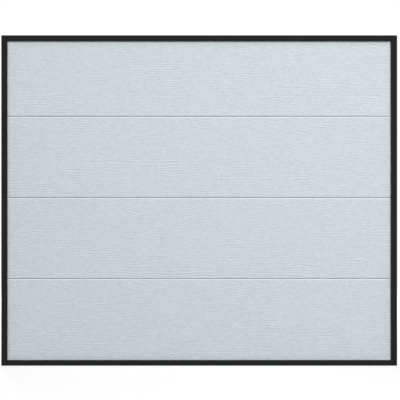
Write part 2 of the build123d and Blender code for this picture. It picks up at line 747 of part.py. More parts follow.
with BuildPart() as track_buffers:
    with BuildSketch(Plane.XZ.offset(-track_end_y)) as buffer_face:
        for track_z in (lower_track_z, upper_track_z):
            with Locations((web_x, track_z)):
                buffer_width = track_depth - 2 * track_sheet
                buffer_height = track_inside - 3 * track_corner_cut
                Rectangle(buffer_width, buffer_height, align=(Align.MAX, Align.CENTER))
    extrude(amount=buffer_length)
    mirror(about=Plane.YZ)
track_buffers.part.label = "track_buffers"
export_step(track_buffers.part, "parts/track_buffers.step")
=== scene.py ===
import json
import math

import bpy
import numpy as np
from mathutils import Matrix, Vector


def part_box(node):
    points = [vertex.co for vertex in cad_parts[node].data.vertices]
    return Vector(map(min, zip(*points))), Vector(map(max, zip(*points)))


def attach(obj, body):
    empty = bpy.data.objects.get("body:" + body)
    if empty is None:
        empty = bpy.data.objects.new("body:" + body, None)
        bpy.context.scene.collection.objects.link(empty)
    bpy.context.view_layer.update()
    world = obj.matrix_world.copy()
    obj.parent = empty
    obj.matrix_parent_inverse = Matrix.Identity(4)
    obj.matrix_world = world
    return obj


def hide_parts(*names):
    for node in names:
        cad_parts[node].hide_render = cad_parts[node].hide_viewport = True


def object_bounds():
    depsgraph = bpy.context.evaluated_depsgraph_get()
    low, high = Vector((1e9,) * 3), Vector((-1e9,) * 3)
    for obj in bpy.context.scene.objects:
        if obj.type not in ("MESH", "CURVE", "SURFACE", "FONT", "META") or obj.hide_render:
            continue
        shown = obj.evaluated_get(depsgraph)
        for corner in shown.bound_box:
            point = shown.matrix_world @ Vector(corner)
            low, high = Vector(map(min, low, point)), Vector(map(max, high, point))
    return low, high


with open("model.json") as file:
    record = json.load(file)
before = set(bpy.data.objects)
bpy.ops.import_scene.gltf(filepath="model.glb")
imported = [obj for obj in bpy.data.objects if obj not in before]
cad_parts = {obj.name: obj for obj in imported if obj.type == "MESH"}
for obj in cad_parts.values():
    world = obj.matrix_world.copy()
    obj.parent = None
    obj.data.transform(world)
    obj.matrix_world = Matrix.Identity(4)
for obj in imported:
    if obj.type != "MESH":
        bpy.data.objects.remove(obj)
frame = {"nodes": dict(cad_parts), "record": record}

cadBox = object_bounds()
carrier = "root"         # the whole door is one fixed body
nodes = frame["nodes"]


def tell(stage):
    print("garage door:", stage)


# Shader helpers

def put(tree, kind, inputs=None, **settings):
    node = tree.nodes.new("ShaderNode" + kind)
    for name, value in settings.items():
        setattr(node, name, value)
    for name, value in (inputs or {}).items():
        if isinstance(value, bpy.types.NodeSocket):
            tree.links.new(value, node.inputs[name])
        else:
            node.inputs[name].default_value = value
    return node


def startGroup(name, inputs, outputs):
    tree = bpy.data.node_groups.new(name, "ShaderNodeTree")
    for label, value in inputs.items():
        socket = tree.interface.new_socket(label, in_out="INPUT", socket_type="NodeSocketFloat")
        socket.default_value = value
    for label in outputs:
        tree.interface.new_socket(label, in_out="OUTPUT", socket_type="NodeSocketFloat")
    taken = tree.nodes.new("NodeGroupInput").outputs
    given = tree.nodes.new("NodeGroupOutput").inputs
    return tree, taken, given


def remap(tree, value, fromLow, fromHigh, toLow=0.0, toHigh=1.0):
    spread = {"Value": value, "From Min": fromLow, "From Max": fromHigh, "To Min": toLow, "To Max": toHigh}
    return put(tree, "MapRange", spread).outputs["Result"]


def times(tree, first, second):
    return put(tree, "Math", {0: first, 1: second}, operation="MULTIPLY").outputs[0]


def plus(tree, first, second):
    return put(tree, "Math", {0: first, 1: second}, operation="ADD").outputs[0]


def largest(tree, first, second):
    return put(tree, "Math", {0: first, 1: second}, operation="MAXIMUM").outputs[0]


def weighted(tree, *parts, base=0.0):
    # base plus each value times its share
    for value, share in parts:
        base = plus(tree, base, times(tree, value, share))
    return base


def objectPlace(tree):
    return put(tree, "TexCoord").outputs["Object"]


def stretched(tree, alongX, alongY, alongZ):
    scale = put(tree, "CombineXYZ", {"X": alongX, "Y": alongY, "Z": alongZ}).outputs[0]
    return put(tree, "VectorMath", {0: objectPlace(tree), 1: scale}, operation="MULTIPLY").outputs[0]


def noise(tree, place, scale, detail=2.0, roughness=0.5, warp=0.0):
    values = {"Vector": place, "Scale": scale, "Detail": detail, "Roughness": roughness, "Distortion": warp}
    return put(tree, "TexNoise", values).outputs["Fac"]


def patterned(tree, place, scale, pattern):
    return remap(tree, noise(tree, place, scale, *pattern["texture"]), *pattern["span"])


def stretchedPattern(tree, pattern):
    return patterned(tree, stretched(tree, *pattern["scales"]), 1.0, pattern)


def blendColour(tree, mask, first, second):
    mix = put(tree, "Mix", {0: mask, 6: first, 7: second}, data_type="RGBA")
    return mix.outputs[2]


# Shared surface effects

effectLooks = {
    "edgeSamples": 4, "edgeFacing": (0.99, 0.86), "lyingFaces": (0.25, 0.95), "fineSpan": (0.3, 0.7),
    "wornPatches": {"texture": (3.0, 0.6), "span": (0.42, 0.62)},
    "dustPatches": {"texture": (4.0, 0.6), "span": (0.3, 0.7)},
    "clouds": {"texture": (3.0, 0.5, 0.4), "span": (0.3, 0.7)},
    "fineGrain": (2.0, 0.55),
    "drawnLines": {"texture": (3.0, 0.7), "span": (0.25, 0.75)},
}
spangleLook = {
    "wanderScale": 60.0, "wanderReach": 0.006, "frostScale": 420.0, "frost": (3.0, 0.6),
    "Tone": (0.7, 0.3), "Height": (0.5, 0.2),    # shares of the crystals and of the frost
}


def makeEdgeWear():
    tree, taken, given = startGroup("edgeWear", {"Radius": 0.0015, "Breakup": 70.0, "Amount": 1.0}, ["Mask"])
    bevel = put(tree, "Bevel", {"Radius": taken["Radius"]}, samples=effectLooks["edgeSamples"])
    flat = put(tree, "NewGeometry").outputs["Normal"]
    facing = put(tree, "VectorMath", {0: bevel.outputs["Normal"], 1: flat}, operation="DOT_PRODUCT")
    edge = remap(tree, facing.outputs["Value"], *effectLooks["edgeFacing"])
    patches = patterned(tree, objectPlace(tree), taken["Breakup"], effectLooks["wornPatches"])
    tree.links.new(times(tree, times(tree, edge, patches), taken["Amount"]), given["Mask"])
    return tree


def makeDust():
    tree, taken, given = startGroup("settledDust", {"Amount": 0.5, "Patch Scale": 9.0}, ["Mask"])
    up = put(tree, "SeparateXYZ", {0: put(tree, "NewGeometry").outputs["Normal"]}).outputs["Z"]
    lying = remap(tree, up, *effectLooks["lyingFaces"])
    patches = patterned(tree, objectPlace(tree), taken["Patch Scale"], effectLooks["dustPatches"])
    tree.links.new(times(tree, times(tree, lying, patches), taken["Amount"]), given["Mask"])
    return tree


def makeCoatTexture():
    inputs = {"Grain Scale": 900.0, "Cloud Scale": 3.0}
    tree, taken, given = startGroup("coatTexture", inputs, ["Height", "Cloud"])
    fine = noise(tree, objectPlace(tree), taken["Grain Scale"], *effectLooks["fineGrain"])
    broad = patterned(tree, objectPlace(tree), taken["Cloud Scale"], effectLooks["clouds"])
    tree.links.new(fine, given["Height"])
    tree.links.new(broad, given["Cloud"])
    return tree


def makeSpangle():
    tree, taken, given = startGroup("zincSpangle", {"Crystal Scale": 110.0}, ["Tone", "Height"])
    look = spangleLook
    wander = put(tree, "TexNoise", {"Vector": objectPlace(tree), "Scale": look["wanderScale"]})
    reach = {0: wander.outputs["Color"], 3: look["wanderReach"]}
    shift = put(tree, "VectorMath", reach, operation="SCALE").outputs[0]
    place = put(tree, "VectorMath", {0: objectPlace(tree), 1: shift}, operation="ADD").outputs[0]
    cells = put(tree, "TexVoronoi", {"Vector": place, "Scale": taken["Crystal Scale"]}).outputs
    shade = put(tree, "SeparateColor", {0: cells["Color"]}).outputs[0]
    frost = noise(tree, objectPlace(tree), look["frostScale"], *look["frost"])
    for label, crystals in (("Tone", shade), ("Height", cells["Distance"])):
        crystalShare, frostShare = look[label]
        tree.links.new(weighted(tree, (crystals, crystalShare), (frost, frostShare)), given[label])
    return tree


def makeDrawnLines():
    inputs = {"Length X": 2.0, "Length Y": 900.0, "Length Z": 900.0}
    tree, taken, given = startGroup("drawnLines", inputs, ["Lines"])
    place = stretched(tree, taken["Length X"], taken["Length Y"], taken["Length Z"])
    tree.links.new(patterned(tree, place, 1.0, effectLooks["drawnLines"]), given["Lines"])
    return tree


tell("shared surface effects")
edgeWear = makeEdgeWear()
settledDust = makeDust()
coatTexture = makeCoatTexture()
zincSpangle = makeSpangle()
drawnLines = makeDrawnLines()


def effect(tree, group, values):
    node = tree.nodes.new("ShaderNodeGroup")
    node.node_tree = group
    for label, value in values.items():
        node.inputs[label].default_value = value
    return node.outputs


def startMaterial(name, values):
    material = bpy.data.materials.new(name)
    material.use_nodes = True
    tree = material.node_tree
    shader = tree.nodes["Principled BSDF"].inputs
    for label, value in values.items():
        shader[label].default_value = value
    return material, tree, shader


def dress(tree, shader, look, colour, roughness, height, others=None):
    strength, distance = look["bump"]
    values = {"Height": height, "Strength": strength, "Distance": distance}
    bump = put(tree, "Bump", values | (others or {}))
    tree.links.new(colour, shader["Base Color"])
    tree.links.new(roughness, shader["Roughness"])
    tree.links.new(bump.outputs["Normal"], shader["Normal"])


def agedColour(tree, mottling, look):
    # two mottled tones, then rubbed edges and dust where the look has them
    colour = blendColour(tree, mottling, look["low"], look["high"])
    if "edges" in look:
        colour = blendColour(tree, effect(tree, edgeWear, look["edges"])["Mask"], colour, look["wear"])
    if "lying" in look:
        colour = blendColour(tree, effect(tree, settledDust, look["lying"])["Mask"], colour, look["dust"])
    return colour


# Materials

def makeFrameCoat():
    look = {
        "low": (0.0080, 0.0084, 0.0090, 1), "high": (0.0120, 0.0124, 0.0130, 1),
        "wear": (0.04, 0.041, 0.043, 1), "dust": (0.12, 0.115, 0.105, 1),
        "roughness": (0.42, 0.56), "roundness": 0.003, "roundSamples": 6, "bump": (0.35, 0.0003),
        "coat": {"Grain Scale": 1100.0, "Cloud Scale": 4.0},
        "edges": {"Radius": 0.0012, "Breakup": 55.0, "Amount": 0.3},
        "lying": {"Amount": 0.2},
    }
    material, tree, shader = startMaterial("frameCoat", {"Specular IOR Level": 0.14})
    coat = effect(tree, coatTexture, look["coat"])
    rough = remap(tree, coat["Cloud"], 0, 1, *look["roughness"])
    soft = put(tree, "Bevel", {"Radius": look["roundness"]}, samples=look["roundSamples"]).outputs["Normal"]
    dress(tree, shader, look, agedColour(tree, coat["Cloud"], look), rough, coat["Height"], {"Normal": soft})
    return material


def makeSectionFront():
    look = {
        # groove: darker colour painted into the deeper grain lines, a painted shade in the embossing
        "low": (0.715, 0.764, 0.794, 1), "high": (0.727, 0.776, 0.807, 1), "groove": (0.44, 0.48, 0.51, 1),
        # shoulder: a lighter colour painted on the rolled shoulder under each joint, a painted highlight
        # where light from above falls
        "shoulder": (0.86, 0.90, 0.92, 1), "roughness": (0.42, 0.56),
        "pores": {"scales": (9.0, 160.0, 330.0), "texture": (3.0, 0.62, 0.5), "span": (0.3, 0.7)},
        "flecks": {"scales": (44.0, 60.0, 165.0), "texture": (1.5, 0.5, 0.5), "span": (0.34, 0.66)},
        "streaks": {"scales": (4.0, 60.0, 140.0), "texture": (3.0, 0.55, 0.8), "span": (0.34, 0.66)},
        "cloudPaint": 0.4, "streakPaint": 0.6,
        "middleTone": 0.11, "lineTone": 0.68, "fleckTone": 0.28, "poreTone": 0.12,
        "poreHeight": 0.45, "grainHeight": 0.08, "fleckHeight": -0.55, "bump": (0.7, 0.0007),
        "coat": {"Grain Scale": 700.0, "Cloud Scale": 2.2},
    }
    material, tree, shader = startMaterial("sectionFront", {"Specular IOR Level": 0.4})
    coat = effect(tree, coatTexture, look["coat"])
    pores = stretchedPattern(tree, look["pores"])
    flecks = stretchedPattern(tree, look["flecks"])
    streaks = stretchedPattern(tree, look["streaks"])
    paint = weighted(tree, (coat["Cloud"], look["cloudPaint"]), (streaks, look["streakPaint"]))
    flat = blendColour(tree, paint, look["low"], look["high"])
    lines = put(tree, "Attribute", attribute_name="grainPaintedShade").outputs["Fac"]
    rolled = put(tree, "Attribute", attribute_name="shoulderHighlight").outputs["Fac"]
    # painted shade from the grain depth, mixed with random flecks and pores, pulls the colour toward the
    # groove colour
    tone = weighted(tree, (lines, look["lineTone"]), (flecks, look["fleckTone"]), (pores, look["poreTone"]),
                    base=look["middleTone"])
    colour = blendColour(tree, tone, flat, look["groove"])
    # painted highlight: the rolled shoulder under each joint gets the lighter shoulder colour
    colour = blendColour(tree, rolled, colour, look["shoulder"])
    rough = remap(tree, pores, 0, 1, *look["roughness"])
    height = weighted(tree, (pores, look["poreHeight"]), (coat["Height"], look["grainHeight"]),
                      (flecks, look["fleckHeight"]))
    dress(tree, shader, look, colour, rough, height)
    return material


def makeSectionBack():
    look = {
        "low": (0.66, 0.662, 0.648, 1), "high": (0.70, 0.702, 0.690, 1), "groove": (0.52, 0.522, 0.508, 1),
        "roughness": (0.42, 0.56), "bump": (0.6, 0.0012), "grainHeight": 0.1,
        # dimples drive the bump; the painted shade follows their hollows
        "dimples": (230.0, 3.0, 0.55, 1.4), "dimpleHollowShade": (0.5, 0.3, 0, 0.35),
        "coat": {"Grain Scale": 500.0, "Cloud Scale": 1.6},
    }
    material, tree, shader = startMaterial("sectionBack", {"Specular IOR Level": 0.4})
    coat = effect(tree, coatTexture, look["coat"])
    dimples = noise(tree, objectPlace(tree), *look["dimples"])
    flat = blendColour(tree, coat["Cloud"], look["low"], look["high"])
    # painted shade: darker groove colour where the dimpled bump is low
    colour = blendColour(tree, remap(tree, dimples, *look["dimpleHollowShade"]), flat, look["groove"])
    rough = remap(tree, dimples, *effectLooks["fineSpan"], *look["roughness"])
    height = weighted(tree, (coat["Height"], look["grainHeight"]), base=dimples)
    dress(tree, shader, look, colour, rough, height)
    return material


def makeGalvanised():
    look = {
        "low": (0.38, 0.39, 0.405, 1), "high": (0.60, 0.61, 0.62, 1), "wear": (0.72, 0.72, 0.72, 1),
        "dust": (0.42, 0.40, 0.36, 1), "dustRoughness": 0.4,
        "roughTones": (0.2, 0.8), "roughness": (0.36, 0.52), "bump": (0.25, 0.0004),
        "zinc": {"Crystal Scale": 165.0},
        "edges": {"Radius": 0.0008, "Breakup": 90.0, "Amount": 0.6},
        "lying": {"Amount": 0.3},
    }
    material, tree, shader = startMaterial("galvanisedSheet", {"Metallic": 1.0})
    zinc = effect(tree, zincSpangle, look["zinc"])
    dust = effect(tree, settledDust, look["lying"])["Mask"]
    colour = blendColour(tree, zinc["Tone"], look["low"], look["high"])
    colour = blendColour(tree, effect(tree, edgeWear, look["edges"])["Mask"], colour, look["wear"])
    colour = blendColour(tree, dust, colour, look["dust"])
    rough = remap(tree, zinc["Tone"], *look["roughTones"], *look["roughness"])
    rough = weighted(tree, (dust, look["dustRoughness"]), base=rough)
    dress(tree, shader, look, colour, rough, zinc["Height"])
    return material


def makeRailAluminium():
    look = {
        "low": (0.60, 0.61, 0.62, 1), "high": (0.76, 0.77, 0.78, 1), "wear": (0.85, 0.85, 0.86, 1),
        "roughness": (0.3, 0.46), "bump": (0.2, 0.0002),
        "drawn": {"Length X": 3.0, "Length Y": 700.0, "Length Z": 700.0},
        "edges": {"Radius": 0.0008, "Breakup": 60.0, "Amount": 0.5},
    }
    material, tree, shader = startMaterial("railAluminium", {"Metallic": 1.0})
    lines = effect(tree, drawnLines, look["drawn"])["Lines"]
    rough = remap(tree, lines, 0, 1, *look["roughness"])
    dress(tree, shader, look, agedColour(tree, lines, look), rough, lines)
    return material


def makeBrightSteel():
    look = {
        "low": (0.46, 0.46, 0.45, 1), "high": (0.62, 0.62, 0.61, 1), "tarnish": (0.50, 0.49, 0.44, 1),
        "tarnished": 0.5, "roughness": (0.24, 0.4), "bump": (0.15, 0.0002),
        "drawn": {"Length X": 30.0, "Length Y": 1200.0, "Length Z": 1200.0},
        "coat": {"Grain Scale": 160.0, "Cloud Scale": 14.0},
    }
    material, tree, shader = startMaterial("brightSteel", {"Metallic": 1.0})
    lines = effect(tree, drawnLines, look["drawn"])["Lines"]
    cloud = effect(tree, coatTexture, look["coat"])["Cloud"]
    colour = blendColour(tree, lines, look["low"], look["high"])
    colour = blendColour(tree, times(tree, cloud, look["tarnished"]), colour, look["tarnish"])
    dress(tree, shader, look, colour, remap(tree, lines, 0, 1, *look["roughness"]), lines)
    return material


mottledLooks = {
    "sealRubber": {
        "low": (0.012, 0.012, 0.012, 1), "high": (0.022, 0.022, 0.023, 1), "dust": (0.16, 0.15, 0.13, 1),
        "shader": {"Specular IOR Level": 0.3}, "roughness": (0.62, 0.82), "bump": (0.3, 0.0004),
        "coat": {"Grain Scale": 420.0, "Cloud Scale": 6.0},
        "lying": {"Amount": 0.5},
    },
    "rollerNylon": {
        "low": (0.66, 0.65, 0.60, 1), "high": (0.76, 0.75, 0.71, 1), "wear": (0.40, 0.39, 0.36, 1),
        "shader": {"Specular IOR Level": 0.45, "Subsurface Weight": 0.08, "Subsurface Scale": 0.003},
        "roughness": (0.34, 0.5), "bump": (0.15, 0.0003),
        "coat": {"Grain Scale": 260.0, "Cloud Scale": 25.0},
        "edges": {"Radius": 0.0025, "Breakup": 120.0, "Amount": 0.8},
    },
    "castAlloy": {
        "low": (0.42, 0.43, 0.44, 1), "high": (0.54, 0.55, 0.56, 1), "wear": (0.72, 0.73, 0.74, 1),
        "shader": {"Metallic": 1.0}, "roughness": (0.42, 0.62), "bump": (0.45, 0.0006),
        "coat": {"Grain Scale": 330.0, "Cloud Scale": 30.0},
        "edges": {"Radius": 0.0012, "Breakup": 90.0, "Amount": 0.9},
    },
    "pulleyNylon": {
        "low": (0.022, 0.022, 0.024, 1), "high": (0.036, 0.036, 0.038, 1), "wear": (0.11, 0.11, 0.11, 1),
        "shader": {"Specular IOR Level": 0.45}, "roughness": (0.38, 0.55), "bump": (0.2, 0.0003),
        "coat": {"Grain Scale": 300.0, "Cloud Scale": 30.0},
        "edges": {"Radius": 0.0015, "Breakup": 140.0, "Amount": 0.7},
    },
    "springSteel": {
        "low": (0.105, 0.11, 0.118, 1), "high": (0.165, 0.17, 0.175, 1), "wear": (0.34, 0.34, 0.34, 1),
        "shader": {"Metallic": 1.0}, "roughness": (0.28, 0.44), "bump": (0.2, 0.0003),
        "coat": {"Grain Scale": 380.0, "Cloud Scale": 18.0},
        "edges": {"Radius": 0.001, "Breakup": 80.0, "Amount": 0.5},
    },
    "cableSteel": {
        "low": (0.40, 0.40, 0.40, 1), "high": (0.56, 0.56, 0.56, 1),
        "shader": {"Metallic": 1.0}, "roughness": (0.32, 0.5), "bump": (0.2, 0.0002),
        "coat": {"Grain Scale": 700.0, "Cloud Scale": 40.0},
    },
    "screwZinc": {
        "low": (0.52, 0.52, 0.53, 1), "high": (0.68, 0.68, 0.67, 1), "wear": (0.80, 0.80, 0.80, 1),
        "shader": {"Metallic": 1.0}, "roughness": (0.22, 0.38), "bump": (0.1, 0.0002),
        "coat": {"Grain Scale": 500.0, "Cloud Scale": 60.0},
        "edges": {"Radius": 0.0005, "Breakup": 200.0, "Amount": 0.7},
    },
}


def makeMottled(name):
    look = mottledLooks[name]
    material, tree, shader = startMaterial(name, look["shader"])
    coat = effect(tree, coatTexture, look["coat"])
    rough = remap(tree, coat["Height"], *effectLooks["fineSpan"], *look["roughness"])
    dress(tree, shader, look, agedColour(tree, coat["Cloud"], look), rough, coat["Height"])
    return material


tell("materials")
finishes = {
    "frame_coat": makeFrameCoat(),
    "section_skin": makeSectionFront(),
    "seal_rubber": makeMottled("sealRubber"),
    "rail_aluminium": makeRailAluminium(),
    "galvanised": makeGalvanised(),
    "roller_nylon": makeMottled("rollerNylon"),
    "bright_steel": makeBrightSteel(),
    "cast_alloy": makeMottled("castAlloy"),
    "pulley_nylon": makeMottled("pulleyNylon"),
    "spring_steel": makeMottled("springSteel"),
    "cable_steel": makeMottled("cableSteel"),
}
sectionBack = makeSectionBack()
screwZinc = makeMottled("screwZinc")

edgeEase = {"smoothAngle": 32, "dissolveAngle": 0.4, "bevelAngle": 38, "segments": 2, "weldDistance": 1e-5}
easeWidths = {"frame_coat": 0.0011, "galvanised": 0.0004, "cast_alloy": 0.0004, "rail_aluminium": 0.0004}


def makeSmoothByAngle():
    tree = bpy.data.node_groups.new("smoothByAngle", "GeometryNodeTree")
    tree.interface.new_socket("Geometry", in_out="INPUT", socket_type="NodeSocketGeometry")
    tree.interface.new_socket("Geometry", in_out="OUTPUT", socket_type="NodeSocketGeometry")
    given = tree.nodes.new("NodeGroupInput")
    result = tree.nodes.new("NodeGroupOutput")
    plain = tree.nodes.new("GeometryNodeRemoveAttribute")   # lets the shading follow the bent edges
    plain.inputs["Name"].default_value = "custom_normal"
    faces = tree.nodes.new("GeometryNodeSetShadeSmooth")
    edges = tree.nodes.new("GeometryNodeSetShadeSmooth")
    edges.domain = "EDGE"
    angle = tree.nodes.new("GeometryNodeInputMeshEdgeAngle")
    soft = tree.nodes.new("FunctionNodeCompare")
    soft.operation = "LESS_THAN"
    soft.inputs["B"].default_value = math.radians(edgeEase["smoothAngle"])
    tree.links.new(given.outputs[0], plain.inputs["Geometry"])
    tree.links.new(plain.outputs["Geometry"], faces.inputs["Geometry"])
    tree.links.new(faces.outputs["Geometry"], edges.inputs["Geometry"])
    tree.links.new(angle.outputs["Unsigned Angle"], soft.inputs["A"])
    tree.links.new(soft.outputs["Result"], edges.inputs["Shade Smooth"])
    tree.links.new(edges.outputs["Geometry"], result.inputs[0])
    return tree


smoothByAngle = makeSmoothByAngle()


def finishNode(node, slotName):
    if not node.data.materials:
        node.data.materials.append(None)
    for holder in node.material_slots:
        holder.link = "OBJECT"
        holder.material = finishes[slotName]
    weld = node.modifiers.new("weld", "WELD")
    weld.merge_threshold = edgeEase["weldDistance"]
    clean = node.modifiers.new("flats", "DECIMATE")
    clean.decimate_type = "DISSOLVE"
    clean.angle_limit = math.radians(edgeEase["dissolveAngle"])
    if slotName in easeWidths:
        bevel = node.modifiers.new("ease", "BEVEL")
        bevel.width = easeWidths[slotName]
        bevel.segments = edgeEase["segments"]
        bevel.limit_method = "ANGLE"
        bevel.angle_limit = math.radians(edgeEase["bevelAngle"])
    smooth = node.modifiers.new("smooth", "NODES")
    smooth.node_group = smoothByAngle
    even = node.modifiers.new("even", "WEIGHTED_NORMAL")
    even.keep_sharp = True


tell("finishes on the CAD nodes")
for row in frame["record"]["subparts"]:
    finishNode(nodes[row["node"]], row["material_slot"])


# Mesh helpers

def addObject(name, data):
    item = bpy.data.objects.new(name, data)
    bpy.context.scene.collection.objects.link(item)
    return item


def makePiece(name, part, slotName, material=None, stands=(), sharp=35):
    verts, faces = part
    mesh = bpy.data.meshes.new(name)
    mesh.from_pydata(np.asarray(verts).tolist(), [], faces)
    mesh.materials.append(material or finishes[slotName])
    mesh.update()
    mesh.shade_smooth()
    mesh.set_sharp_from_angle(angle=math.radians(sharp))
    piece = addObject(name, mesh)
    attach(piece, carrier)
    if stands:
        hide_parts(*stands)
    return piece


def joined(parts):
    verts, faces, count = [], [], 0
    for places, loops in parts:
        verts.append(places)
        faces += [[index + count for index in loop] for loop in loops]
        count += len(places)
    return np.vstack(verts), faces


def ringFaces(rings, sides, clockwise=False):
    # rings that run the other way round get their faces turned, so that all of them face outward
    faces = []
    for ring in range(rings - 1):
        low, high = ring * sides, (ring + 1) * sides
        for side in range(sides):
            after = (side + 1) % sides
            faces.append([low + side, low + after, high + after, high + side])
    faces.append(list(range(sides))[::-1])
    faces.append(list(range((rings - 1) * sides, rings * sides)))
    return [face[::-1] for face in faces] if clockwise else faces


def turned(radii, heights, sides=24):
    angles = np.arange(sides) * 2 * math.pi / sides
    rings = [np.broadcast_to(radius, sides) for radius in radii]
    verts = [np.column_stack((ring * np.cos(angles), ring * np.sin(angles), np.full(sides, height)))
             for ring, height in zip(rings, heights)]
    return np.vstack(verts), ringFaces(len(rings), sides)


def hexagon(acrossFlats, sides=24):
    angles = np.arange(sides) * 2 * math.pi / sides
    folded = (angles + math.pi / 6) % (math.pi / 3) - math.pi / 6
    return acrossFlats / 2 / np.cos(folded)


def stood(part, place, direction, turn=0.0):
    verts, faces = part
    aim = Vector(direction).to_track_quat("Z", "Y").to_matrix() @ Matrix.Rotation(turn, 3, "Z")
    return verts @ np.array(aim).T + np.array(place), faces


screwForm = {"rimWall": 0.6, "rimTop": 0.9, "flatTop": 0.86, "crown": 1.04, "crownTop": 0.97, "topFace": 0.9}
domeForm = {"steps": (0, 25, 50, 75), "tip": 0.12, "sides": 20}


def hexScrew(size):
    form = screwForm
    flat = hexagon(size["acrossFlats"])
    crown = np.minimum(flat, size["acrossFlats"] / 2 * form["crown"])
    flange, rim, top = size["flange"], size["rim"], size["height"]
    radii = [flange, flange, flange * form["rimTop"], flat, flat, crown, crown * form["topFace"]]
    heights = [0, rim * form["rimWall"], rim, rim, top * form["flatTop"], top * form["crownTop"], top]
    return turned(radii, heights)


def domeHead(radius, height):
    steps = np.radians(domeForm["steps"])
    radii = list(radius * np.cos(steps)) + [radius * domeForm["tip"]]
    return turned(radii, list(height * np.sin(steps)) + [height], domeForm["sides"])


# Wood-grain sections

fieldSize = 64       # cells after which the random field repeats


def softField(across, up, seed):
    table = np.random.default_rng(seed).uniform(-1, 1, (fieldSize, fieldSize))
    column, row = np.floor(across).astype(int), np.floor(up).astype(int)
    shareX, shareZ = across - column, up - row
    shareX, shareZ = shareX * shareX * (3 - 2 * shareX), shareZ * shareZ * (3 - 2 * shareZ)
    column, right = column % fieldSize, (column + 1) % fieldSize
    row, above = row % fieldSize, (row + 1) % fieldSize
    low = table[column, row] * (1 - shareX) + table[right, row] * shareX
    high = table[column, above] * (1 - shareX) + table[right, above] * shareX
    return low * (1 - shareZ) + high * shareZ


woodGrain = {
    "depth": 0.0006,              # embossing depth in the steel skin
    "linePitch": 0.0157,          # distance between grain lines
    "narrowness": 1.4,
    "slant": 0.15,                # how far the upper lines run down to the right
    "slantFrom": 0.74,            # where the slanted lines take over, as a share of the section's height
    "slantSpread": 0.05,
    "slantWander": (0.16, 0.6, 0.4),
    "wander": ((0.010, 0.50, 0.13), (0.0068, 0.12, 0.05), (0.0024, 0.045, 0.02)),    # how far, over what area
    "shown": {"area": (0.21, 0.043), "level": 0.52, "swing": 0.62, "least": 0.03},    # strength of the lines
    "broken": {"area": (0.032, 0.0105), "level": 0.72, "swing": 0.75, "least": 0.2},
    "middle": 0.43,               # depth at which the painted grain shade is the middle one
    "edgeFade": 0.010,
    "seeds": {"first": 40, "nextSection": 37, "shown": 5, "broken": 6, "slantWander": 9, "slantLines": 20},
}


def grainPatches(name, across, rise, seed):
    look = woodGrain[name]
    length, height = look["area"]
    field = softField(across / length, rise / height, seed + woodGrain["seeds"][name])
    return np.clip(look["level"] + look["swing"] * field, look["least"], 1)


def grainLines(across, up, slope, seed):
    look = woodGrain
    rise = up + slope * across
    for count, (far, length, height) in enumerate(look["wander"]):
        rise = rise + far * softField(across / length, up / height, seed + count)
    ridge = (0.5 - 0.5 * np.cos(2 * math.pi * rise / look["linePitch"])) ** look["narrowness"]
    return ridge, grainPatches("shown", across, rise, seed) * grainPatches("broken", across, rise, seed)


def grainRelief(across, up, height, seed):
    # how deep the grain is pressed in, from 0 to 1, and a painted shade about the middle one: darker in the
    # deeper lines, lighter between them
    look, seeds = woodGrain, woodGrain["seeds"]
    far, length, rise = look["slantWander"]
    wandering = far * softField(across / length, up / rise, seed + seeds["slantWander"])
    slanted = 1 / (1 + np.exp(-(up / height - look["slantFrom"] + wandering) / look["slantSpread"]))
    ridge, strength = grainLines(across, up, 0.0, seed)
    slantRidge, slantStrength = grainLines(across, up, look["slant"], seed + seeds["slantLines"])
    straightPart, slantPart = strength * (1 - slanted), slantStrength * slanted
    tone = (ridge - look["middle"]) * straightPart + (slantRidge - look["middle"]) * slantPart
    return ridge * straightPart + slantRidge * slantPart, tone


sectionShape = {
    "order": ["bottom", "lower", "upper", "top"],
    "jointGap": 0.003, "shoulderRadius": 0.008, "lipRadius": 0.0015, "backRadius": 0.002,
    "tongueRise": 0.019, "tongueInset": 0.008, "tongueWidth": 0.013, "tipRadius": 0.0035,
    "tongueClearance": 0.0012, "hingeOffset": 0.006,
    "frontRows": 0.0027, "stations": 236, "arcSteps": 5,
    "backRibs": 5, "backRibDepth": 0.0007, "backRibHalf": 0.005, "backRibFlat": 0.0015,
}


def arc(centreY, centreZ, radius, startDegrees, endDegrees):
    angles = np.radians(np.linspace(startDegrees, endDegrees, sectionShape["arcSteps"]))
    return [(centreY + radius * math.cos(a), centreZ + radius * math.sin(a)) for a in angles]


def tongueLine(frontY, backY, jointZ, grown):
    # arc about the hinge, rounded tip and straight back, from the front foot to the back foot
    look = sectionShape
    hingeY = backY + look["hingeOffset"]
    reach = hingeY - frontY - look["tongueInset"] + grown
    tip = look["tipRadius"] + grown
    tipZ = look["tongueRise"] + grown - tip
    tipAngle = math.degrees(math.asin(tipZ / (reach - tip)))
    tipY = hingeY - math.sqrt((reach - tip) ** 2 - tipZ ** 2)
    backTipY = frontY + look["tongueInset"] + look["tongueWidth"] + grown - tip
    footZ = (look["jointGap"] / 2) * (1 if grown else -1)
    footAngle = math.degrees(math.asin(footZ / reach))
    line = arc(hingeY, jointZ, reach, 180 - footAngle, 180 - tipAngle)
    line += arc(tipY, jointZ + tipZ, tip, 180 - tipAngle, 90)[1:]
    line += arc(backTipY, jointZ + tipZ, tip, 90, 0)
    return line + [(backTipY + tip, jointZ + footZ)]


